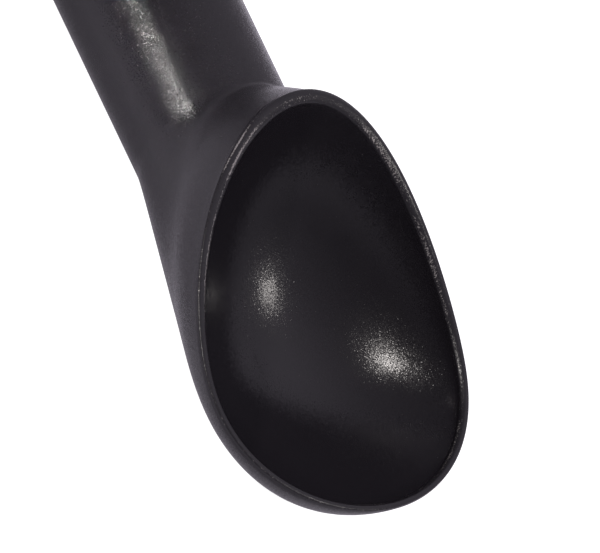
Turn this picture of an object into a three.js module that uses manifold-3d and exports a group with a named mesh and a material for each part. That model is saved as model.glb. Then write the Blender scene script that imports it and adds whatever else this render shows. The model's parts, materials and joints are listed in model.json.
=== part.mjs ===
// One-piece cast ice-cream scoop with a hollow, liquid-filled handle closed by a plug and an end cap.
// Lengths are in millimetres. While the pieces are built, x runs along the handle's axis from the
// closed end to the bowl's tip, and z points up out of the bowl. The finished group is then tilted and
// moved so that the scoop lies on z = 0, on the bowl's belly and the handle's end.
import * as THREE from "three";
import { LoftGeometry } from "three/addons/geometries/LoftGeometry.js";
import { mergeVertices } from "three/addons/utils/BufferGeometryUtils.js";
import Module from "manifold-3d";

// ---- whole scoop
const OVERALL_LENGTH = 178;
const HEAD_LENGTH = 72.8; // neck ring to tip
const NECK_X = OVERALL_LENGTH - HEAD_LENGTH;
const GAP = 0.3; // clearance between neighbouring pieces

// ---- handle
const HANDLE_END_R = 15.3;
const NECK_R = 14.7;
const MOUTH_X = 9.3; // where the casting starts, in front of the end cap
const MOUTH_CHAMFER = 0.4;
const BORE_R = 11.5;
const BORE_DOME = 8; // length of the bore's rounded blind end
const BORE_END_X = NECK_X - 6;

// ---- rim of the bowl, seen from above: an egg, blunt at the tip
const BOWL_LENGTH = 66.1;
const BOWL_HALF_WIDTH = 28.75;
const TIP_SPAN = 23.9; // widest place to tip
const HEEL_X = OVERALL_LENGTH - BOWL_LENGTH;
const EGG_LEAN = BOWL_LENGTH / 2 - TIP_SPAN; // how much more pointed the heel is than the tip
const EGG_SOFTNESS = 0.25; // how gently the two ends' curves meet

// ---- rim of the bowl, seen from the side: a line from the heel down to the tip, sagging in between
const HEEL_Z = 25.2;
const TIP_Z = -2.5;
const RIM_SAG = 4.7;

// ---- rim bead
const RIM_WIDTH = 1.55;
const HEEL_RIM_WIDTH = 2.3;
const BEAD_HEIGHT = 0.8;
const BEAD_FULLNESS = 0.8; // 1 is a half ellipse, less is squarer
const BEVEL_START = 0.5; // share of the width where the top starts to slope into the bowl
const BEVEL_SLOPE = 0.7;
const BEVEL_BLEND = 0.08; // share of the width over which level top and slope run together

// ---- outside of the bowl. Each triple holds the values at the heel, at the side and at the tip.
// Pulls are the lengths of the wall curves' end tangents as shares of the curve's span, and the flare
// is the angle in degrees at which the wall leans outwards where it meets the rim.
const OUTER_NECK_PULL = [0.3, 0.07, 0.12];
const OUTER_RIM_PULL = [0.52, 0.325, 0.38];
const OUTER_FLARE = [-21.5, 21.5, 20];
const NECK_SET_BACK = 2.5; // how much further back the neck ring lies on top than below

// Added right behind the heel, where the wall rises straight from a tight fillet.
const HEEL_NECK_PULL = -0.18;
const HEEL_RIM_PULL = 0.23;
const HEEL_FLARE = -21.5;

// ---- inside of the bowl, also at the heel, at the side and at the tip
const DEPTH = [19.4, 19.2, 15.6]; // below the sheet that spans the rim
const FLARE_SHARE = [-0.58, 0.7, 0.85]; // 0 gives an upright elliptical wall, 1 a flaring parabolic one
const FLOOR_SHIFT = 11.4; // how far the deepest place is moved towards the heel

// ---- closing plug, filling screw and end cap
const CAP_LENGTH = 9;
const CAP_CORNER_R = 3;
const CAP_WALL = 3;
const SPIGOT_LENGTH = 6.4;
const SPIGOT_WALL = 2;
const PLUG_X = 16;
const PLUG_LENGTH = 11;
const RING_SECTION_R = 0.95; // O-ring
const COUNTERBORE_R = 4.6;
const COUNTERBORE_DEPTH = 3.4;
const SCREW_R = 1.95;
const SCREW_LENGTH = 8;
const SCREW_HEAD_R = 3.8;
const SCREW_HEAD_LENGTH = 2;
const SOCKET_R = 1.7; // corner radius of the hexagonal socket
const WASHER_LENGTH = 0.8;
const PLUG_R = BORE_R - GAP;
const HOLE_R = SCREW_R + GAP;

// ---- fineness of the surfaces
const AROUND = 80;
const WALL_STEPS = 14;
const BEAD_STEPS = 6;
const DOME_STEPS = 5;
const TURNED_SIDES = 40;

const wasm = await Module();
wasm.setup();

function coated(color, roughness, metalness) {
  return new THREE.MeshStandardMaterial({ color, roughness, metalness });
}

const MATERIALS = {
  coating: coated(0x2b2a2c, 0.42, 0.35),
  liquid: coated(0xb7c9bd, 0.1, 0),
  bareAluminium: coated(0xb8babd, 0.35, 0.9),
  rubber: coated(0x141414, 0.85, 0),
  steel: coated(0xa9abae, 0.3, 1),
  nylon: coated(0xe4e0d4, 0.6, 0),
  plastic: coated(0x1d1d1f, 0.55, 0),
};

function named(name, geometry, material) {
  const mesh = new THREE.Mesh(geometry, material);
  mesh.name = name;
  return mesh;
}

// A value that passes smoothly through the heel's, the side's and the tip's. Reach is 1 at the rim;
// less reach brings the value smoothly to their mean, at 0.
function blend([heel, side, tip], turn, reach = 1) {
  const mean = (heel + 2 * side + tip) / 4;
  const lean = (heel - tip) / 2;
  const pinch = (heel - 2 * side + tip) / 4;
  return mean + lean * reach * Math.cos(turn) + pinch * reach ** 2 * Math.cos(2 * turn);
}

// Turn 0 is the top of the handle and the heel of the rim, half a turn is the bottom and the tip.
function ringOf(pointAt) {
  return Array.from({ length: AROUND }, (_, i) => pointAt((i / AROUND) * 2 * Math.PI));
}

function circleRing(x, radius) {
  return ringOf((turn) => circlePoint(x, radius, turn));
}

function circlePoint(x, radius, turn) {
  return new THREE.Vector3(x, -radius * Math.sin(turn), radius * Math.cos(turn));
}

// Smooth sheet that spans the rim. A reach of 1 is the rim itself, 0 the sheet's middle.
function sheetPoint(turn, reach) {
  const back = reach * Math.cos(turn);
  const soft = Math.hypot(back, EGG_SOFTNESS) / Math.hypot(1, EGG_SOFTNESS);
  const x = OVERALL_LENGTH - TIP_SPAN - (BOWL_LENGTH / 2) * back - EGG_LEAN * soft;
  const share = (x - HEEL_X) / BOWL_LENGTH;
  const slope = HEEL_Z + (TIP_Z - HEEL_Z) * share;
  const sag = 4 * RIM_SAG * share * (1 - share);
  return new THREE.Vector3(x, -BOWL_HALF_WIDTH * reach * Math.sin(turn), slope - sag);
}

// The highest line of the rim, along its outer side.
function rimPoint(turn) {
  return sheetPoint(turn, 1);
}

// Level direction that points out of the bowl, square to the rim as seen from above.
function rimOutward(turn) {
  const back = Math.cos(turn);
  const pointed = (EGG_LEAN * back) / (Math.hypot(back, EGG_SOFTNESS) * Math.hypot(1, EGG_SOFTNESS));
  const advance = Math.sin(turn) * (BOWL_LENGTH / 2 + pointed);
  return new THREE.Vector3(-BOWL_HALF_WIDTH * back, -advance, 0).normalize();
}

function rimWidth(turn) {
  return RIM_WIDTH + (HEEL_RIM_WIDTH - RIM_WIDTH) * ((1 + Math.cos(turn)) / 2) ** 2;
}

// How far the rim's top has dropped at this share of its width: level at first, then a bevel.
function bevelDrop(turn, inwards) {
  const past = inwards - BEVEL_START;
  return (BEVEL_SLOPE * rimWidth(turn) * (past + Math.hypot(past, BEVEL_BLEND))) / 2;
}

// Point of the rounded bead; across runs from 0 at the outer wall to 1 at the inner wall.
function beadPoint(turn, across) {
  const swing = across * Math.PI;
  const inwards = (1 - Math.cos(swing)) / 2;
  const rise = Math.abs(Math.sin(swing)) ** BEAD_FULLNESS;
  const point = rimPoint(turn).addScaledVector(rimOutward(turn), -rimWidth(turn) * inwards);
  point.z -= BEAD_HEIGHT * (1 - rise) + bevelDrop(turn, inwards);
  return point;
}

// Upward direction of a wall that leans outwards by the given angle.
function wallRise(turn, flareDegrees) {
  const flare = THREE.MathUtils.degToRad(flareDegrees);
  const rise = rimOutward(turn).multiplyScalar(Math.sin(flare));
  rise.z = Math.cos(flare);
  return rise;
}

// Where the handle ends and the bowl's wall starts.
function neckPoint(turn) {
  const setBack = (NECK_SET_BACK * (1 + Math.cos(turn))) / 2;
  return circlePoint(NECK_X - setBack, NECK_R, turn);
}

// 1 right behind the heel, falling to nothing at the sides.
function heelShare(turn) {
  return ((1 + Math.cos(turn)) / 2) ** 6;
}

// From the neck ring, where it runs along the handle, to the outer foot of the bead.
function outerWall(turn) {
  const heel = heelShare(turn);
  const start = neckPoint(turn);
  const end = beadPoint(turn, 0);
  const span = start.distanceTo(end);
  const neckPull = blend(OUTER_NECK_PULL, turn) + HEEL_NECK_PULL * heel;
  const rimPull = blend(OUTER_RIM_PULL, turn) + HEEL_RIM_PULL * heel;
  const rise = wallRise(turn, blend(OUTER_FLARE, turn) + HEEL_FLARE * heel);
  return new THREE.CubicBezierCurve3(
    start,
    start.clone().add(new THREE.Vector3(span * neckPull, 0, 0)),
    end.clone().addScaledVector(rise, -span * rimPull),
    end,
  );
}

// Inside of the bowl, from 0 at the inner foot of the bead to 1 at the bottom.
function innerPoint(turn, share) {
  const reach = Math.cos((share * Math.PI) / 2);
  const sink = Math.sin((share * Math.PI) / 2);
  const foot = beadPoint(turn, 1).sub(rimPoint(turn));
  const flare = blend(FLARE_SHARE, turn, reach);
  const point = sheetPoint(turn, reach).addScaledVector(foot, reach);
  point.x -= FLOOR_SHIFT * sink ** 2;
  point.z -= blend(DEPTH, turn, reach) * sink * (1 - flare + flare * sink);
  return point;
}

function steps(count, makeRing) {
  return Array.from({ length: count }, (_, i) => makeRing((i + 1) / count));
}

// Rounded blind end of a round cavity, from its crown on the axis to its full radius.
function domeRings(crownX, radius) {
  return steps(DOME_STEPS, (share) => {
    const swing = (share * Math.PI) / 2;
    return circleRing(crownX - BORE_DOME * (1 - Math.cos(swing)), radius * Math.sin(swing));
  });
}

// The casting is one surface: out of the bore, over the handle, up the bowl's outside, over the rim
// and down to the deepest point inside.
function bodyGeometry() {
  const sections = [
    circleRing(BORE_END_X, 0),
    ...domeRings(BORE_END_X, BORE_R),
    circleRing(MOUTH_X + MOUTH_CHAMFER, BORE_R),
    circleRing(MOUTH_X, BORE_R + MOUTH_CHAMFER),
    circleRing(MOUTH_X, HANDLE_END_R - MOUTH_CHAMFER),
    circleRing(MOUTH_X + MOUTH_CHAMFER, HANDLE_END_R),
    ringOf(neckPoint),
    ...steps(WALL_STEPS, (share) => ringOf((turn) => outerWall(turn).getPoint(share))),
    ...steps(BEAD_STEPS, (share) => ringOf((turn) => beadPoint(turn, share))),
    ...steps(WALL_STEPS, (share) => ringOf((turn) => innerPoint(turn, share))),
  ];
  return new LoftGeometry(sections);
}

// A body of revolution round the x axis, from pairs of distance along the axis and radius.
function turned(profile) {
  const points = profile.map(([x, radius]) => new THREE.Vector2(radius, x));
  return new THREE.LatheGeometry(points, TURNED_SIDES).rotateZ(-Math.PI / 2);
}

// Points of a quarter circle from one angle to the other, in degrees, as turned() pairs.
function arc(centreX, centreR, radius, from, to, count = 6) {
  return Array.from({ length: count + 1 }, (_, i) => {
    const angle = THREE.MathUtils.degToRad(from + ((to - from) * i) / count);
    return [centreX + radius * Math.cos(angle), centreR + radius * Math.sin(angle)];
  });
}

// The liquid fills the bore between the plug and the blind end.
function liquidGeometry() {
  const start = PLUG_X + PLUG_LENGTH + GAP;
  const crown = BORE_END_X - GAP;
  const dome = steps(DOME_STEPS, (share) => {
    const swing = (share * Math.PI) / 2;
    return [crown - BORE_DOME * (1 - Math.sin(swing)), PLUG_R * Math.cos(swing)];
  });
  return turned([[start, 0], [start, PLUG_R], [crown - BORE_DOME, PLUG_R], ...dome]);
}

// Plug with a groove round it, and a hole through it that is wider at the screw's head.
function plugGeometry() {
  const inner = PLUG_X + PLUG_LENGTH;
  const grooveMiddle = PLUG_X + PLUG_LENGTH / 2;
  const grooveHalf = RING_SECTION_R + GAP;
  const grooveR = PLUG_R - 2 * RING_SECTION_R - GAP;
  return turned([
    [PLUG_X, COUNTERBORE_R],
    [PLUG_X, PLUG_R],
    [grooveMiddle - grooveHalf, PLUG_R],
    [grooveMiddle - grooveHalf, grooveR],
    [grooveMiddle + grooveHalf, grooveR],
    [grooveMiddle + grooveHalf, PLUG_R],
    [inner, PLUG_R],
    [inner, HOLE_R],
    [PLUG_X + COUNTERBORE_DEPTH, HOLE_R],
    [PLUG_X + COUNTERBORE_DEPTH, COUNTERBORE_R],
    [PLUG_X, COUNTERBORE_R],
  ]);
}

function plugRingGeometry() {
  const middle = PLUG_X + PLUG_LENGTH / 2;
  return turned(arc(middle, PLUG_R - RING_SECTION_R, RING_SECTION_R, 180, -180, 10));
}

function washerGeometry() {
  const end = PLUG_X + COUNTERBORE_DEPTH - GAP;
  const start = end - WASHER_LENGTH;
  const outerR = COUNTERBORE_R - GAP;
  return turned([
    [start, HOLE_R],
    [start, outerR],
    [end, outerR],
    [end, HOLE_R],
    [start, HOLE_R],
  ]);
}

function solidOf(geometry) {
  const bare = geometry.clone();
  bare.deleteAttribute("normal");
  bare.deleteAttribute("uv");
  const merged = mergeVertices(bare);
  return new wasm.Manifold(
    new wasm.Mesh({
      numProp: 3,
      vertProperties: merged.attributes.position.array,
      triVerts: new Uint32Array(merged.index.array),
    }),
  );
}

function geometryOf(solid) {
  const mesh = solid.getMesh();
  const geometry = new THREE.BufferGeometry();
  geometry.setAttribute("position", new THREE.BufferAttribute(mesh.vertProperties, 3));
  geometry.setIndex(new THREE.BufferAttribute(mesh.triVerts, 1));
  return geometry;
}

// Cap-head screw with a hexagonal socket; its head stands in the plug's wider hole.
function screwGeometry() {
  const headEnd = PLUG_X + COUNTERBORE_DEPTH - WASHER_LENGTH - 2 * GAP;
  const headStart = headEnd - SCREW_HEAD_LENGTH;
  const blank = turned([
    [headStart, 0],
    [headStart, SCREW_HEAD_R],
    [headEnd, SCREW_HEAD_R],
    [headEnd, SCREW_R],
    [headEnd + SCREW_LENGTH, SCREW_R],
    [headEnd + SCREW_LENGTH, 0],
  ]);
  const depth = SCREW_HEAD_LENGTH * 0.7;
  const socket = new THREE.CylinderGeometry(SOCKET_R, SOCKET_R, 2 * depth, 6);
  socket.rotateZ(-Math.PI / 2).translate(headStart, 0, 0);
  return geometryOf(solidOf(blank).subtract(solidOf(socket)));
}

// Cup-shaped cap whose spigot stands in the bore's mouth.
function capGeometry() {
  const spigotEnd = CAP_LENGTH + SPIGOT_LENGTH;
  const insideR = PLUG_R - SPIGOT_WALL;
  return turned([
    [0, 0],
    ...arc(CAP_CORNER_R, HANDLE_END_R - CAP_CORNER_R, CAP_CORNER_R, 180, 90),
    [CAP_LENGTH, HANDLE_END_R],
    [CAP_LENGTH, PLUG_R],
    [spigotEnd, PLUG_R],
    [spigotEnd, insideR],
    [CAP_WALL, insideR],
    [CAP_WALL, 0],
  ]);
}

// Angle by which the scoop leans when its belly and its handle's end both touch the ground.
function restTilt(body) {
  const points = body.getAttribute("position");
  const belly = new THREE.Vector3();
  const point = new THREE.Vector3();
  for (let i = 0; i < points.count; i++) {
    point.fromBufferAttribute(points, i);
    if (point.z < belly.z) belly.copy(point);
  }
  return Math.atan2(-belly.z - HANDLE_END_R, belly.x - CAP_CORNER_R);
}

const body = named("scoop_body", bodyGeometry(), MATERIALS.coating);

const scoop = new THREE.Group();
scoop.add(
  body,
  named("heat_fluid", liquidGeometry(), MATERIALS.liquid),
  named("end_plug", plugGeometry(), MATERIALS.bareAluminium),
  named("plug_o_ring", plugRingGeometry(), MATERIALS.rubber),
  named("fill_screw", screwGeometry(), MATERIALS.steel),
  named("fill_screw_washer", washerGeometry(), MATERIALS.nylon),
  named("end_cap", capGeometry(), MATERIALS.plastic),
);
scoop.rotation.y = -restTilt(body.geometry);

const group = new THREE.Group();
group.name = "ice_cream_scoop";
group.add(scoop);
group.updateMatrixWorld(true);
const box = new THREE.Box3().setFromObject(group, true);
const middle = box.getCenter(new THREE.Vector3());
group.position.set(-middle.x, -middle.y, -box.min.z);

export default group;
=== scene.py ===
"""Looks of the one-piece cast ice-cream scoop: a fine casting and end cap, materials, lights and camera."""

import json
import math

import bmesh
import bpy
from mathutils import Matrix, Vector


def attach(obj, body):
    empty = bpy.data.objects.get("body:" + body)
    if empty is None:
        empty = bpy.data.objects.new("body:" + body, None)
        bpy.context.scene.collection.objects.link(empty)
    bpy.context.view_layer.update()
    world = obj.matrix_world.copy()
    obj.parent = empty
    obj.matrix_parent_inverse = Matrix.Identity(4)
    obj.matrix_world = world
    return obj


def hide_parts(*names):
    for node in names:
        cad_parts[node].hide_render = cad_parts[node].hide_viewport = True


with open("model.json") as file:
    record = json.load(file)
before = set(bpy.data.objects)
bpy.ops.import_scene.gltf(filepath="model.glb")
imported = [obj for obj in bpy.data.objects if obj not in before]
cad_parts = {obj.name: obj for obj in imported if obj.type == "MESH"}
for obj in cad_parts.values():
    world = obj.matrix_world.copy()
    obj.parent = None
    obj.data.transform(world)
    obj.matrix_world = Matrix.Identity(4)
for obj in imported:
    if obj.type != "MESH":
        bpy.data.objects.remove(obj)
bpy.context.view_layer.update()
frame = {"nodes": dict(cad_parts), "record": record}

# ---- handle frame: x along the handle from the cap's end to the bowl's tip, z up out of the bowl
CAP_FACE = frame["record"]["mounts"][0]
HANDLE_X = -Vector(CAP_FACE["axis"]).normalized()
HANDLE_Y = Vector((0.0, 1.0, 0.0))
HANDLE_Z = HANDLE_X.cross(HANDLE_Y)
HANDLE_ORIGIN = Vector(CAP_FACE["pos_m"])
HANDLE_TURN = Matrix((HANDLE_X, HANDLE_Y, HANDLE_Z)).transposed().to_4x4()
HANDLE_FRAME = Matrix.Translation(HANDLE_ORIGIN) @ HANDLE_TURN

# ---- whole scoop, in metres
OVERALL_LENGTH = 0.178
HEAD_LENGTH = 0.0728
NECK_X = OVERALL_LENGTH - HEAD_LENGTH
GAP = 0.0003

# ---- handle
HANDLE_END_R = 0.0153
NECK_R = 0.0147
MOUTH_X = 0.0093
MOUTH_ROUND = 0.0004
BORE_R = 0.0115
BORE_DOME = 0.008
BORE_END_X = NECK_X - 0.006

# ---- rim
BOWL_LENGTH = 0.0661
BOWL_HALF_WIDTH = 0.02875
TIP_SPAN = 0.0239
HEEL_X = OVERALL_LENGTH - BOWL_LENGTH
EGG_LEAN = BOWL_LENGTH / 2 - TIP_SPAN
EGG_SOFTNESS = 0.25
HEEL_Z = 0.0252
TIP_Z = -0.0025
RIM_SAG = 0.0047
RIM_WIDTH = 0.00155
HEEL_RIM_WIDTH = 0.0023
BEAD_HEIGHT = 0.0008
BEAD_FULLNESS = 0.5
BEVEL_START = 0.5
BEVEL_SLOPE = 0.7
BEVEL_BLEND = 0.08

# ---- walls of the bowl: values at the heel, at the side and at the tip
NECK_SET_BACK = 0.0025
OUTER_NECK_PULL = (0.3, 0.07, 0.12)
OUTER_RIM_PULL = (0.52, 0.325, 0.38)
OUTER_FLARE = (-21.5, 21.5, 20)
HEEL_NECK_PULL = -0.18
HEEL_RIM_PULL = 0.23
HEEL_FLARE = -21.5
DEPTH = (0.0194, 0.0192, 0.0156)
FLARE_SHARE = (-0.58, 0.7, 0.85)
FLOOR_SHIFT = 0.0114

# ---- end cap
CAP_LENGTH = 0.009
CAP_CORNER_R = 0.003
CAP_WALL = 0.003
SPIGOT_LENGTH = 0.0064
SPIGOT_WALL = 0.002

# ---- floor
FLOOR_HALF = 1.5
FLOOR_DROP = 0.0002

# ---- studio dome: pairs of the sine of the elevation and the grey there
STUDIO_GREYS = (
    (-1, 0.22), (-0.8, 0.25), (-0.65, 0.40), (-0.4, 0.53), (-0.15, 0.50), (0, 0.46),
    (0.15, 0.34), (0.3, 0.28), (0.75, 0.48), (1, 0.74))
STUDIO_TINT = (1.0, 0.93, 1.07)

# ---- studio dome: strengths towards -Y and +Y above the horizon, and what both sides gain below it,
# ---- each in full from the given sine of the elevation
NEAR_STRENGTH = 0.4
FAR_STRENGTH = 1.6
SKY_START = 0.2
TABLE_SIDES = 0.9
TABLE_START = -0.4

# ---- lights
LOW_LIGHT_X = NECK_X + 0.006
LIGHT_TINT = (1.0, 0.95, 0.92)

# ---- the coating's grain: its size, its lean, and how strongly it stands out in each place
GRAIN_SIZE = 0.00019
EVEN_LEAN = 0.8
STEEP_LEAN = 5.5
HANDLE_GRAIN = 0.5
BOWL_GRAIN = 0.21
RIM_GRAIN = 0.3
RIM_FADE = 0.03

# ---- rubbed places and painted highlight lines on the rim: where they are strongest, as turns round the bowl from the heel
BEVEL_TURN, BEVEL_TURN_REACH = math.radians(50), 0.9
CORNER_TURN, CORNER_TURN_REACH = math.radians(34), 0.16

# ---- rubbed places and painted highlight lines on the rim: where they lie across the bead, how wide they are and how strong
BAND_ACROSS, BAND_REACH = 0.76, 0.14
BAND_LOSS = 0.5
LINE_ACROSS, LINE_REACH = 0.60, 0.075
# the sharp line on the bevel is a painted highlight, drawn as rubbed metal
LINE_SHEEN = 1.6
CORNER_ACROSS, CORNER_REACH = 0.16, 0.06
CORNER_SHIFT = 0.1
CORNER_WEAR = 0.7
# the corner line's extra strength on one side of the heel is a painted highlight, drawn as rubbed metal
CORNER_SHEEN = 1.0

# ---- fineness
AROUND = 256
HANDLE_STEPS = 30
WALL_STEPS = 64
BEAD_STEPS = 28
DOME_STEPS = 10


# ------------------------------------------------------------------ shape of the casting

def blend(values, turn, reach=1.0):
    """A value that passes smoothly through the heel's, the side's and the tip's at full reach,
    and through their mean at no reach."""
    heel, side, tip = values
    mean = (heel + 2 * side + tip) / 4
    lean = (heel - tip) / 2
    pinch = (heel - 2 * side + tip) / 4
    return mean + lean * reach * math.cos(turn) + pinch * reach ** 2 * math.cos(2 * turn)


def circle_point(x, radius, turn):
    return Vector((x, -radius * math.sin(turn), radius * math.cos(turn)))


def sheet_point(turn, reach):
    """Smooth sheet that spans the rim: a reach of 1 is the rim itself, 0 the sheet's middle."""
    back = reach * math.cos(turn)
    soft = math.hypot(back, EGG_SOFTNESS) / math.hypot(1, EGG_SOFTNESS)
    x = OVERALL_LENGTH - TIP_SPAN - BOWL_LENGTH / 2 * back - EGG_LEAN * soft
    share = (x - HEEL_X) / BOWL_LENGTH
    slope = HEEL_Z + (TIP_Z - HEEL_Z) * share
    sag = 4 * RIM_SAG * share * (1 - share)
    return Vector((x, -BOWL_HALF_WIDTH * reach * math.sin(turn), slope - sag))


def rim_point(turn):
    """The highest line of the rim, along its outer side."""
    return sheet_point(turn, 1.0)


def rim_outward(turn):
    """Level direction out of the bowl, square to the rim as seen from above."""
    back = math.cos(turn)
    pointed = EGG_LEAN * back / (math.hypot(back, EGG_SOFTNESS) * math.hypot(1, EGG_SOFTNESS))
    advance = math.sin(turn) * (BOWL_LENGTH / 2 + pointed)
    return Vector((-BOWL_HALF_WIDTH * back, -advance, 0)).normalized()


def rim_width(turn):
    return RIM_WIDTH + (HEEL_RIM_WIDTH - RIM_WIDTH) * ((1 + math.cos(turn)) / 2) ** 2


def bevel_drop(turn, inwards):
    """How far the rim's top has dropped at this share of its width: level at first, then a
    bevel into the bowl."""
    past = inwards - BEVEL_START
    return BEVEL_SLOPE * rim_width(turn) * (past + math.hypot(past, BEVEL_BLEND)) / 2


def bead_point(turn, across):
    """Point of the rounded bead, from 0 at the outer wall to 1 at the inner wall."""
    swing = across * math.pi
    inwards = (1 - math.cos(swing)) / 2
    rise = abs(math.sin(swing)) ** BEAD_FULLNESS
    point = rim_point(turn) - rim_outward(turn) * rim_width(turn) * inwards
    point.z -= BEAD_HEIGHT * (1 - rise) + bevel_drop(turn, inwards)
    return point


def wall_rise(turn, flare_degrees):
    """Upward direction of a wall that leans outwards by the given angle."""
    flare = math.radians(flare_degrees)
    rise = rim_outward(turn) * math.sin(flare)
    rise.z = math.cos(flare)
    return rise


def bezier(start, pull_a, pull_b, end, share):
    back = 1 - share
    return (start * back ** 3 + pull_a * 3 * back ** 2 * share
            + pull_b * 3 * back * share ** 2 + end * share ** 3)


def neck_x(turn):
    """Where the handle ends: further back on top, behind the heel."""
    return NECK_X - NECK_SET_BACK * (1 + math.cos(turn)) / 2


def heel_share(turn):
    """1 right behind the heel, falling to nothing at the sides: where the wall rises from a tight fillet."""
    return ((1 + math.cos(turn)) / 2) ** 6


def outer_point(turn, share):
    """Point of the outside of the bowl, from 0 at the neck ring to 1 at the bead."""
    heel = heel_share(turn)
    start = circle_point(neck_x(turn), NECK_R, turn)
    end = bead_point(turn, 0)
    span = (end - start).length
    along = Vector((span * (blend(OUTER_NECK_PULL, turn) + HEEL_NECK_PULL * heel), 0, 0))
    rise = wall_rise(turn, blend(OUTER_FLARE, turn) + HEEL_FLARE * heel)
    rise *= span * (blend(OUTER_RIM_PULL, turn) + HEEL_RIM_PULL * heel)
    return bezier(start, start + along, end - rise, end, share)


def inner_point(turn, share):
    """Point of the inside of the bowl, from 0 at the bead to 1 at the bottom."""
    reach = math.cos(share * math.pi / 2)
    sink = math.sin(share * math.pi / 2)
    foot = bead_point(turn, 1) - rim_point(turn)
    flare = blend(FLARE_SHARE, turn, reach)
    point = sheet_point(turn, reach) + foot * reach
    point.x -= FLOOR_SHIFT * sink ** 2
    point.z -= blend(DEPTH, turn, reach) * sink * (1 - flare + flare * sink)
    return point


# ------------------------------------------------------------------ mesh building

def shares(count):
    return [(i + 1) / count for i in range(count)]


def ring(point_at):
    return [point_at(2 * math.pi * i / AROUND) for i in range(AROUND)]


def circle_ring(x, radius):
    return ring(lambda turn: circle_point(x, radius, turn))


def quarter(centre_x, centre_r, radius, start_deg, end_deg, count=8):
    """(x, radius) pairs of an arc in the half plane of a turned profile."""
    angles = [math.radians(start_deg + (end_deg - start_deg) * i / count) for i in range(count + 1)]
    return [(centre_x + radius * math.cos(a), centre_r + radius * math.sin(a)) for a in angles]


def skin(name, rings, marks=None):
    """Closed or pole-ended surface over rings of points; a ring of one point is a pole.

    marks holds, under each attribute's name, one number for each ring or a list along it."""
    bm = bmesh.new()
    layers = {key: bm.verts.layers.float.new(key) for key in marks or {}}
    rows = []
    for i, points in enumerate(rings):
        row = [bm.verts.new(HANDLE_FRAME @ p) for p in points]
        for key, layer in layers.items():
            mark = marks[key][i]
            for j, vert in enumerate(row):
                vert[layer] = mark[j] if isinstance(mark, list) else mark
        rows.append(row)
    for row, following in zip(rows, rows[1:]):
        for i in range(AROUND):
            j = (i + 1) % AROUND
            if len(row) == 1:
                bm.faces.new((row[0], following[j], following[i]))
            elif len(following) == 1:
                bm.faces.new((row[i], row[j], following[0]))
            else:
                bm.faces.new((row[i], row[j], following[j], following[i]))
    bmesh.ops.recalc_face_normals(bm, faces=bm.faces)
    mesh = bpy.data.meshes.new(name)
    bm.to_mesh(mesh)
    bm.free()
    mesh.shade_smooth()
    piece = bpy.data.objects.new(name, mesh)
    bpy.context.scene.collection.objects.link(piece)
    return piece


def fade(distance, reach):
    """1 at no distance, falling smoothly to nothing past the reach."""
    return math.exp(-(distance / reach) ** 2)


def bead_wear_and_sheen(turn, across):
    """How rubbed the coating is on the rim, with painted highlight lines drawn as rubbed metal.

    A faint band runs along the bevel and a faint line along the outer corner. On one side of
    the heel the band narrows to a sharp line, and the corner's line is sharper for a short way:
    that sharp line and that sharper stretch are painted highlights, where the rim catches the light."""
    turned = turn - BEVEL_TURN
    bevel_side = fade(turned, BEVEL_TURN_REACH) + fade(turned - 2 * math.pi, BEVEL_TURN_REACH)
    corner_side = fade(turn - CORNER_TURN, CORNER_TURN_REACH)
    # the sharp line on the bevel: a painted highlight
    line = LINE_SHEEN * bevel_side * fade(across - LINE_ACROSS, LINE_REACH)
    band = (1 - BAND_LOSS * bevel_side) * fade(across - BAND_ACROSS, BAND_REACH)
    # the outer corner's line is rubbed coating; its sharper, stronger stretch on one side of the heel is a
    # painted highlight
    corner_across = CORNER_ACROSS + CORNER_SHIFT * corner_side
    corner = (CORNER_WEAR + CORNER_SHEEN * corner_side) * fade(across - corner_across, CORNER_REACH)
    return max(line, band, corner)


def handle_point(turn, share):
    front = MOUTH_X + MOUTH_ROUND
    radius = HANDLE_END_R + (NECK_R - HANDLE_END_R) * share
    return circle_point(front + (neck_x(turn) - front) * share, radius, turn)


def casting():
    rings = [[Vector((BORE_END_X, 0, 0))]]
    # marks of rubbed coating and of painted highlight lines on the rim
    wear_and_sheen = [0.0]
    rim = [0.0]
    grain = [HANDLE_GRAIN]

    def add(new_rings, wear_and_sheen_at=lambda share: 0.0, rim_at=lambda share: 0.0, grain_here=HANDLE_GRAIN):
        for i, points in enumerate(new_rings):
            share = (i + 1) / len(new_rings)
            rings.append(points)
            wear_and_sheen.append(wear_and_sheen_at(share))
            rim.append(rim_at(share))
            grain.append(grain_here + (RIM_GRAIN - grain_here) * rim[-1])

    swings = [share * math.pi / 2 for share in shares(DOME_STEPS)]
    add([circle_ring(BORE_END_X - BORE_DOME * (1 - math.cos(s)), BORE_R * math.sin(s)) for s in swings])
    add([circle_ring(MOUTH_X + MOUTH_ROUND, BORE_R), circle_ring(MOUTH_X, BORE_R + MOUTH_ROUND)])
    corner = quarter(MOUTH_X + MOUTH_ROUND, HANDLE_END_R - MOUTH_ROUND, MOUTH_ROUND, 180, 90, 4)
    add([circle_ring(x, radius) for x, radius in corner])
    add([ring(lambda turn, s=s: handle_point(turn, s)) for s in shares(HANDLE_STEPS)])
    add([ring(lambda turn, s=s: outer_point(turn, s)) for s in shares(WALL_STEPS)],
        rim_at=lambda share: fade(1 - share, RIM_FADE))
    # the bead carries the rubbed coating and the painted highlight lines
    add([ring(lambda turn, s=s: bead_point(turn, s)) for s in shares(BEAD_STEPS)],
        wear_and_sheen_at=lambda share: ring(lambda turn: bead_wear_and_sheen(turn, share)), rim_at=lambda share: 1.0)
    add([ring(lambda turn, s=s: inner_point(turn, s)) for s in shares(WALL_STEPS)[:-1]],
        rim_at=lambda share: fade(share, RIM_FADE), grain_here=BOWL_GRAIN)
    rings.append([inner_point(0, 1)])
    wear_and_sheen.append(0.0)
    rim.append(0.0)
    grain.append(BOWL_GRAIN)
    return skin("scoop_casting", rings, {"wear_and_sheen": wear_and_sheen, "rim": rim, "grain": grain})


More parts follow.
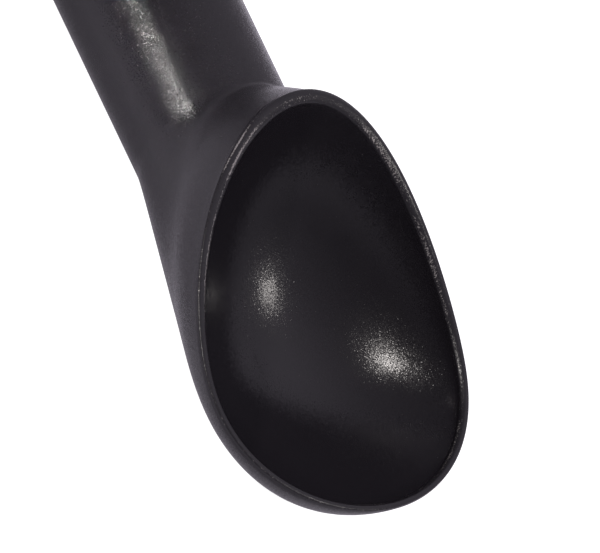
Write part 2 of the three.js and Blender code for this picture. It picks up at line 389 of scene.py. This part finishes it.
def end_cap():
    spigot_r = BORE_R - GAP
    inside_r = spigot_r - SPIGOT_WALL
    edge = 0.0003
    profile = [(0.0, share * (HANDLE_END_R - CAP_CORNER_R)) for share in shares(8)[:-1]]
    profile += quarter(CAP_CORNER_R, HANDLE_END_R - CAP_CORNER_R, CAP_CORNER_R, 180, 90, 12)
    profile += quarter(CAP_LENGTH - edge, HANDLE_END_R - edge, edge, 90, 0, 4)
    profile += [(CAP_LENGTH, spigot_r), (CAP_LENGTH + SPIGOT_LENGTH, spigot_r)]
    profile += [(CAP_LENGTH + SPIGOT_LENGTH, inside_r), (CAP_WALL, inside_r)]
    rings = [[Vector((0, 0, 0))]]
    rings += [circle_ring(x, radius) for x, radius in profile]
    rings.append([Vector((CAP_WALL, 0, 0))])
    return skin("end_cap_moulding", rings)


# ------------------------------------------------------------------ materials

def math_node(tree, operation, *values):
    """Output of a Math node over numbers and outputs."""
    node = tree.nodes.new("ShaderNodeMath")
    node.operation = operation
    for socket, value in zip(node.inputs, values):
        if isinstance(value, (int, float)):
            socket.default_value = value
        else:
            tree.links.new(value, socket)
    return node.outputs["Value"]


def remapped(tree, value, old, new):
    """The value, with the old range stretched onto the new one."""
    node = tree.nodes.new("ShaderNodeMapRange")
    for key, number in zip(("From Min", "From Max", "To Min", "To Max"), (*old, *new)):
        node.inputs[key].default_value = number
    tree.links.new(value, node.inputs["Value"])
    return node.outputs["Result"]


class Nodes:
    """Short calls for building one Principled material."""

    def __init__(self, name, **constants):
        self.material = bpy.data.materials.new(name)
        self.material.use_nodes = True
        self.tree = self.material.node_tree
        self.shader = self.tree.nodes["Principled BSDF"]
        for socket, value in constants.items():
            self.shader.inputs[socket.replace("_", " ")].default_value = value
        self.place = self.tree.nodes.new("ShaderNodeTexCoord").outputs["Object"]

    def node(self, kind, **properties):
        made = self.tree.nodes.new(kind)
        for key, value in properties.items():
            setattr(made, key, value)
        return made

    def link(self, output, target):
        self.tree.links.new(output, target)

    def feed(self, socket, output):
        self.link(output, self.shader.inputs[socket])

    def noise(self, size, detail=2.0, roughness=0.5):
        """Noise whose features are about this many metres across."""
        made = self.node("ShaderNodeTexNoise")
        made.inputs["Scale"].default_value = 1 / size
        made.inputs["Detail"].default_value = detail
        made.inputs["Roughness"].default_value = roughness
        self.link(self.place, made.inputs["Vector"])
        return made.outputs["Fac"]

    def remap(self, value, low, high, to_low, to_high):
        return remapped(self.tree, value, (low, high), (to_low, to_high))

    def math(self, operation, *values):
        return math_node(self.tree, operation, *values)

    def attribute(self, name):
        return self.node("ShaderNodeAttribute", attribute_name=name).outputs["Fac"]

    def mix(self, share, first, second):
        """Colour between first and second; each is a colour or an output."""
        made = self.node("ShaderNodeMix", data_type="RGBA")
        self.link(share, made.inputs["Factor"])
        for key, colour in (("A", first), ("B", second)):
            socket = [s for s in made.inputs if s.name == key and s.type == "RGBA"][0]
            if isinstance(colour, tuple):
                socket.default_value = (*colour, 1.0)
            else:
                self.link(colour, socket)
        return [s for s in made.outputs if s.type == "RGBA"][0]

    def vector_math(self, operation, *vectors):
        made = self.node("ShaderNodeVectorMath", operation=operation)
        for socket, value in zip(made.inputs, vectors):
            if isinstance(value, tuple):
                socket.default_value = value
            else:
                self.link(value, socket)
        return made.outputs["Value" if operation == "DOT_PRODUCT" else "Vector"]

    def scaled(self, vector, amount):
        made = self.node("ShaderNodeVectorMath", operation="SCALE")
        self.link(vector, made.inputs["Vector"])
        self.link(amount, made.inputs["Scale"])
        return made.outputs["Vector"]

    def grained_normal(self, size, even_lean, steep_lean, strength):
        """Normal of grains this many metres across, most of them nearly level and a few steep.

        strength is an output that scales the lean of them all."""
        tones = self.node("ShaderNodeTexNoise")
        tones.inputs["Scale"].default_value = 1 / size
        tones.inputs["Detail"].default_value = 0.0
        self.link(self.place, tones.inputs["Vector"])
        lean = self.vector_math("SUBTRACT", tones.outputs["Color"], (0.5, 0.5, 0.5))
        steepness = self.math("MULTIPLY", self.vector_math("DOT_PRODUCT", lean, lean), steep_lean)
        amount = self.math("MULTIPLY", self.math("ADD", steepness, even_lean), strength)
        level = self.node("ShaderNodeNewGeometry").outputs["Normal"]
        leaning = self.vector_math("ADD", level, self.scaled(lean, amount))
        return self.vector_math("NORMALIZE", leaning)

    def bump(self, heights, normal=None):
        """Stacked bumps from (output, height in metres) pairs, over a normal when one is given."""
        for output, height in heights:
            made = self.node("ShaderNodeBump")
            made.inputs["Strength"].default_value = 1.0
            made.inputs["Distance"].default_value = height
            self.link(output, made.inputs["Height"])
            if normal:
                self.link(normal, made.inputs["Normal"])
            normal = made.outputs["Normal"]
        self.feed("Normal", normal)


def coating_material():
    """Satin black non-stick coating: fine sparkling grain, faint mottling, and metal that shows
    where the rim is rubbed; the same metal also draws painted highlight lines along the rim."""
    m = Nodes("satin_black_coating", IOR=1.42)
    mottle = m.noise(0.004, detail=3.0)
    broad = m.noise(0.03, detail=1.0)
    chips = m.noise(0.0003, detail=2.0, roughness=0.6)
    patches = m.remap(m.noise(0.009, detail=2.0), 0.40, 0.60, 0.45, 1)
    # rubbed metal on the rim: part real wear, part painted highlight lines along the bevel and corner
    rubbed_and_sheen = m.math("MULTIPLY", m.math("MULTIPLY", m.attribute("wear_and_sheen"), patches), 0.30)
    worn_and_sheen = m.remap(m.math("ADD", chips, rubbed_and_sheen), 0.74, 0.90, 0, 0.6)
    black = m.mix(m.remap(broad, 0.3, 0.7, 0, 1), (0.0105, 0.0092, 0.0118), (0.0135, 0.0121, 0.0150))
    black = m.mix(m.remap(mottle, 0.35, 0.65, 0, 1), black, (0.0120, 0.0106, 0.0133))
    # the pale metal colour draws both the rubbed coating and the painted highlight lines
    m.feed("Base Color", m.mix(worn_and_sheen, black, (0.60, 0.57, 0.54)))
    m.feed("Metallic", worn_and_sheen)
    rim_extra = m.remap(m.attribute("rim"), 0, 1, 0, 0.06)
    m.feed("Roughness", m.math("ADD", m.remap(mottle, 0.3, 0.7, 0.20, 0.24), rim_extra))
    grained = m.grained_normal(GRAIN_SIZE, EVEN_LEAN, STEEP_LEAN, m.attribute("grain"))
    m.bump([(mottle, 0.00002)], grained)
    return m.material


def cap_material():
    m = Nodes("matte_black_plastic", IOR=1.49)
    texture = m.noise(0.0004, detail=2.0)
    broad = m.noise(0.01, detail=2.0)
    m.feed("Base Color", m.mix(m.remap(broad, 0.3, 0.7, 0, 1), (0.020, 0.020, 0.021), (0.027, 0.027, 0.028)))
    m.feed("Roughness", m.remap(broad, 0.3, 0.7, 0.46, 0.56))
    m.bump([(texture, 0.00002)])
    return m.material


def plain_material(name, dark, light, roughness, grain_size, grain_height, **constants):
    """A material that varies between two colours and two roughnesses with a fine bump."""
    m = Nodes(name, **constants)
    tone = m.noise(grain_size * 8, detail=2.0)
    m.feed("Base Color", m.mix(m.remap(tone, 0.3, 0.7, 0, 1), dark, light))
    m.feed("Roughness", m.remap(tone, 0.3, 0.7, roughness - 0.05, roughness + 0.05))
    m.bump([(m.noise(grain_size), grain_height)])
    return m.material


def turned_metal(name, dark, light, roughness):
    """Lathe-turned metal, with tool lines that run round the handle's axis."""
    m = Nodes(name, Metallic=1.0)
    wave = m.node("ShaderNodeTexWave", wave_type="BANDS", bands_direction="X")
    wave.inputs["Scale"].default_value = 900
    wave.inputs["Distortion"].default_value = 0.6
    m.link(m.place, wave.inputs["Vector"])
    lines = wave.outputs["Fac"]
    tone = m.noise(0.003, detail=3.0)
    m.feed("Base Color", m.mix(m.remap(tone, 0.3, 0.7, 0, 1), dark, light))
    m.feed("Roughness", m.remap(tone, 0.3, 0.7, roughness - 0.06, roughness + 0.06))
    m.bump([(lines, 0.000006)])
    return m.material


def dress(node, material):
    mesh = frame["nodes"][node].data
    mesh.materials.clear()
    mesh.materials.append(material)


def place(piece, node, slot, material):
    piece.data.materials.append(material)
    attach(piece, "root")
    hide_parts(node)


# ------------------------------------------------------------------ stage

def floor():
    bm = bmesh.new()
    signs = ((-1, -1), (1, -1), (1, 1), (-1, 1))
    bm.faces.new([bm.verts.new((x * FLOOR_HALF, y * FLOOR_HALF, -FLOOR_DROP)) for x, y in signs])
    mesh = bpy.data.meshes.new("floor")
    bm.to_mesh(mesh)
    bm.free()
    piece = bpy.data.objects.new("floor", mesh)
    bpy.context.scene.collection.objects.link(piece)
    m = Nodes("pale_floor", Emission_Color=(1, 1, 1, 1), Emission_Strength=0.97)
    tone = m.noise(0.2, detail=2.0)
    m.feed("Base Color", m.mix(m.remap(tone, 0.3, 0.7, 0, 1), (0.60, 0.60, 0.60), (0.64, 0.64, 0.64)))
    m.feed("Roughness", m.remap(tone, 0.3, 0.7, 0.85, 0.95))
    mesh.materials.append(m.material)
    piece.visible_glossy = False


def direction(azimuth, elevation):
    """Unit vector from azimuth (0 along +X, turning towards +Y) and elevation, in degrees."""
    a, e = math.radians(azimuth), math.radians(elevation)
    return Vector((math.cos(e) * math.cos(a), math.cos(e) * math.sin(a), math.sin(e)))


def soft_light(name, target, azimuth, elevation, distance, size, power, spread=180):
    """Round light that faces its target; spread is the full angle of its beam, in degrees."""
    data = bpy.data.lights.new(name, "AREA")
    data.shape = "DISK"
    data.size = size
    data.energy = power
    data.color = LIGHT_TINT
    data.spread = math.radians(spread)
    lamp = bpy.data.objects.new(name, data)
    towards = direction(azimuth, elevation)
    lamp.location = target + towards * distance
    lamp.rotation_euler = towards.to_track_quat("Z", "Y").to_euler()
    bpy.context.scene.collection.objects.link(lamp)


def lights():
    bowl = HANDLE_FRAME @ Vector((OVERALL_LENGTH - BOWL_LENGTH / 2, 0, 0))
    neck = HANDLE_FRAME @ Vector((LOW_LIGHT_X, 0, 0))
    soft_light("key", bowl, azimuth=-95, elevation=38, distance=0.9, size=0.055, power=2.35)
    soft_light("second", bowl, azimuth=31, elevation=47, distance=0.9, size=0.085, power=1.3)
    soft_light("low", neck, azimuth=-127.5, elevation=19, distance=0.5, size=0.034, power=0.0018, spread=3.2)


def studio():
    """Dome over a pale table. Below the horizon it is dark straight down, where the scoop shades
    the table, and brighter outwards, most of all to the two sides. Above the horizon it is
    bright towards +Y and dim towards -Y."""
    world = bpy.data.worlds.new("studio")
    world.use_nodes = True
    tree = world.node_tree
    place = tree.nodes.new("ShaderNodeTexCoord")
    split = tree.nodes.new("ShaderNodeSeparateXYZ")
    tree.links.new(place.outputs["Generated"], split.inputs["Vector"])
    height, side = split.outputs["Z"], split.outputs["Y"]
    above = remapped(tree, height, (0, SKY_START), (0, 1))
    below = remapped(tree, height, (0, TABLE_START), (0, TABLE_SIDES))
    sky = remapped(tree, math_node(tree, "MULTIPLY", side, above), (-1, 1), (NEAR_STRENGTH, FAR_STRENGTH))
    table = math_node(tree, "MULTIPLY", math_node(tree, "ABSOLUTE", side), below)
    background = tree.nodes["Background"]
    tree.links.new(math_node(tree, "ADD", sky, table), background.inputs["Strength"])
    ramp = tree.nodes.new("ShaderNodeValToRGB")
    tree.links.new(remapped(tree, height, (-1, 1), (0, 1)), ramp.inputs["Fac"])
    tree.links.new(ramp.outputs["Color"], background.inputs["Color"])
    stops = ramp.color_ramp.elements
    stops[0].position, stops[1].position = 0.0, 1.0
    for sine, grey in STUDIO_GREYS[1:-1]:
        stops.new((sine + 1) / 2)
    for stop, (sine, grey) in zip(stops, STUDIO_GREYS):
        stop.color = (*(grey * tint for tint in STUDIO_TINT), 1)
    bpy.context.scene.world = world


def camera():
    azimuth, elevation, roll = -59.046, 40.213, 44.274
    distance = 0.77477
    aim = Vector((0.04506, 0.00290, 0.0200))
    data = bpy.data.cameras.new("camera")
    data.sensor_width = 36
    data.lens = 275.2
    data.clip_end = 20
    towards = direction(azimuth, elevation)
    level_right = Vector((0, 0, 1)).cross(towards).normalized()
    level_up = towards.cross(level_right)
    turn = Matrix((level_right, level_up, towards)).transposed().to_4x4()
    made = bpy.data.objects.new("camera", data)
    made.matrix_world = (Matrix.Translation(aim + towards * distance) @ turn
                         @ Matrix.Rotation(math.radians(roll), 4, "Z"))
    bpy.context.scene.collection.objects.link(made)
    bpy.context.scene.camera = made


# ------------------------------------------------------------------ making

place(casting(), "scoop_body", "coating", coating_material())
place(end_cap(), "end_cap", "cap_plastic", cap_material())
dress("heat_fluid", plain_material("pale_liquid", (0.62, 0.70, 0.64), (0.68, 0.76, 0.70), 0.12,
                                   0.002, 0.00001, Transmission_Weight=0.8, IOR=1.38))
dress("end_plug", turned_metal("turned_aluminium", (0.66, 0.67, 0.68), (0.74, 0.75, 0.76), 0.32))
dress("fill_screw", turned_metal("stainless_steel", (0.55, 0.55, 0.56), (0.62, 0.62, 0.63), 0.28))
dress("plug_o_ring", plain_material("black_rubber", (0.012, 0.012, 0.012), (0.02, 0.02, 0.02), 0.75,
                                    0.0003, 0.00001))
dress("fill_screw_washer", plain_material("natural_nylon", (0.72, 0.70, 0.62), (0.80, 0.78, 0.70), 0.5,
                                          0.0004, 0.00001))
floor()
lights()
studio()
camera()
bpy.context.scene.view_settings.view_transform = "Standard"
